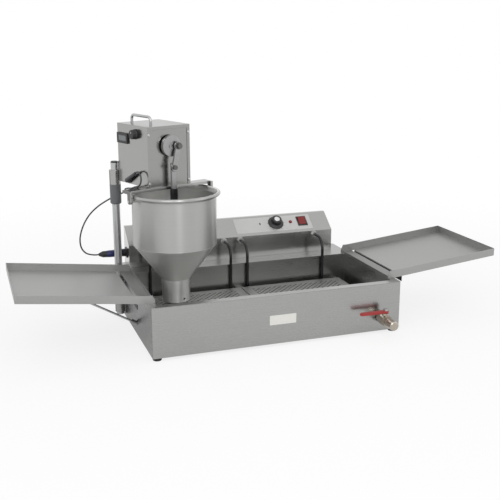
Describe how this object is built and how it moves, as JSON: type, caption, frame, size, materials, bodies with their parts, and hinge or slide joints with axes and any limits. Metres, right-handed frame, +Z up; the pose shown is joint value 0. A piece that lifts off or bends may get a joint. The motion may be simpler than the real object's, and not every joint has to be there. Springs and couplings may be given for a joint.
{
  "type": "donut fryer",
  "caption": "Table-top stainless donut fryer: oil pan with drain trays, heating rods and screens, control box, and a swinging batter head with hopper and crank plunger.",
  "frame": {"origin": "centre of the part's footprint, lead left out, on the surface that the rubber feet stand on", "axes": "+X to the right along the casing, from the column's end to the drain's end, +Y from the drain valve at the front to the control box at the back, +Z up"},
  "size_m": [1.386, 0.568, 0.609],
  "materials": {
    "satin_stainless": "satin sheet",
    "bright_stainless": "polished",
    "zinc_fastener": "zinc plated",
    "valve_metal": "nickel plated casting",
    "heater_sheath": "oxidised sheath",
    "dark_clamp": "blackened",
    "black_plastic": "matt",
    "grey_plastic": "matt",
    "blue_plastic": "gloss",
    "red_grip": "dipped sleeve",
    "red_lens": "translucent",
    "display_face": "display window",
    "black_rubber": "matt",
    "bakelite": "moulded",
    "drive_grey": "painted",
    "bush_bronze": "turned",
    "white_plastic": "turned"
  },
  "bodies": {
    "fryer_base": {"outer_casing": "satin_stainless", "oil_pan": "satin_stainless", "base_plate": "satin_stainless", "rubber_feet": "black_rubber", "drain_pipe": "bright_stainless", "valve_body": "valve_metal", "valve_end_cap": "bright_stainless", "heating_element_left": "heater_sheath", "heating_element_right": "heater_sheath", "element_fittings": "zinc_fastener", "left_screen": "bright_stainless", "screen_rests": "satin_stainless", "brace_cups": "satin_stainless", "control_case": "satin_stainless", "control_back_cover": "satin_stainless", "case_screws": "zinc_fastener", "thermostat_body": "bakelite", "switch_body": "black_plastic", "pilot_lamp": "red_lens", "lead_socket": "black_plastic", "mains_gland": "black_plastic", "column_tube": "bright_stainless", "column_brackets": "satin_stainless", "column_cap": "bright_stainless", "height_collar": "dark_clamp", "collar_screw": "black_plastic", "lead_plug": "black_plastic", "plug_collar": "blue_plastic", "lead_cord": "black_rubber"},
    "valve_handle": {"valve_stem": "bright_stainless", "valve_lever": "red_grip"},
    "thermostat_dial": {"thermostat_knob": "black_plastic"},
    "power_rocker": {"switch_rocker": "red_lens"},
    "lift_out_screen": {"right_screen": "bright_stainless"},
    "left_drain_tray": {"left_tray": "satin_stainless", "left_brace": "bright_stainless"},
    "right_drain_tray": {"right_tray": "satin_stainless", "right_brace": "bright_stainless"},
    "depositor_head": {"head_sleeve": "satin_stainless", "head_chassis": "satin_stainless", "head_cover": "satin_stainless", "head_screws": "zinc_fastener", "top_handle": "bright_stainless", "display_bezel": "black_plastic", "display_window": "display_face", "gear_motor": "drive_grey", "gearbox": "drive_grey", "shaft_bush": "bush_bronze", "hopper": "bright_stainless", "nozzle_tube": "bright_stainless", "hopper_bracket": "satin_stainless", "lead_gland": "grey_plastic"},
    "speed_dial": {"speed_knob": "black_plastic"},
    "crank": {"crank_disc": "bright_stainless", "crank_bolt": "zinc_fastener"},
    "plunger": {"connecting_link": "bright_stainless", "link_bolt": "zinc_fastener", "plunger_rod": "bright_stainless", "rod_coupling": "dark_clamp", "batter_piston": "white_plastic"}
  },
  "joints": [
    {"name": "head_swing", "type": "hinge", "parent": "fryer_base", "child": "depositor_head", "pos_m": [-0.373, 0.177, 0.429], "axis": [0, 0, 1], "range_deg": [-15, 20], "deforming": ["lead_cord"]},
    {"name": "crank_turn", "type": "hinge", "parent": "depositor_head", "child": "crank", "pos_m": [-0.24194, 0.02889, 0.531], "axis": [0.342, -0.9397, 0], "range_deg": [-35, 35]},
    {"name": "plunger_slide", "type": "slide", "parent": "depositor_head", "child": "plunger", "axis": [0, 0, 1], "range_m": [-0.00805, 0.00805]},
    {"name": "speed_knob_turn", "type": "hinge", "parent": "depositor_head", "child": "speed_dial", "pos_m": [-0.33085, 0.06996, 0.561], "axis": [0.9397, 0.342, 0], "range_deg": [0, 270]},
    {"name": "thermostat_turn", "type": "hinge", "parent": "fryer_base", "child": "thermostat_dial", "pos_m": [0.141, 0.22416, 0.24254], "axis": [0, 0.6062, -0.7953], "range_deg": [0, 300]},
    {"name": "rocker_tilt", "type": "hinge", "parent": "fryer_base", "child": "power_rocker", "pos_m": [0.23, 0.22416, 0.24254], "axis": [-1, 0, 0], "range_deg": [0, 16]},
    {"name": "valve_turn", "type": "hinge", "parent": "fryer_base", "child": "valve_handle", "pos_m": [0.298, -0.228, 0.05], "axis": [0, 0, 1], "range_deg": [0, 90]},
    {"name": "left_tray_lift", "type": "slide", "parent": "fryer_base", "child": "left_drain_tray", "axis": [-0.866, 0, 0.5], "range_m": [0, 0.15]},
    {"name": "right_tray_lift", "type": "slide", "parent": "fryer_base", "child": "right_drain_tray", "axis": [0.866, 0, 0.5], "range_m": [0, 0.15]},
    {"name": "right_screen_lift", "type": "slide", "parent": "fryer_base", "child": "lift_out_screen", "axis": [0, 0, 1], "range_m": [0, 0.12]}
  ],
  "couplings": [
    {"joint": "plunger_slide", "follows": "crank_turn", "m_per_rad": 0.013145}
  ]
}
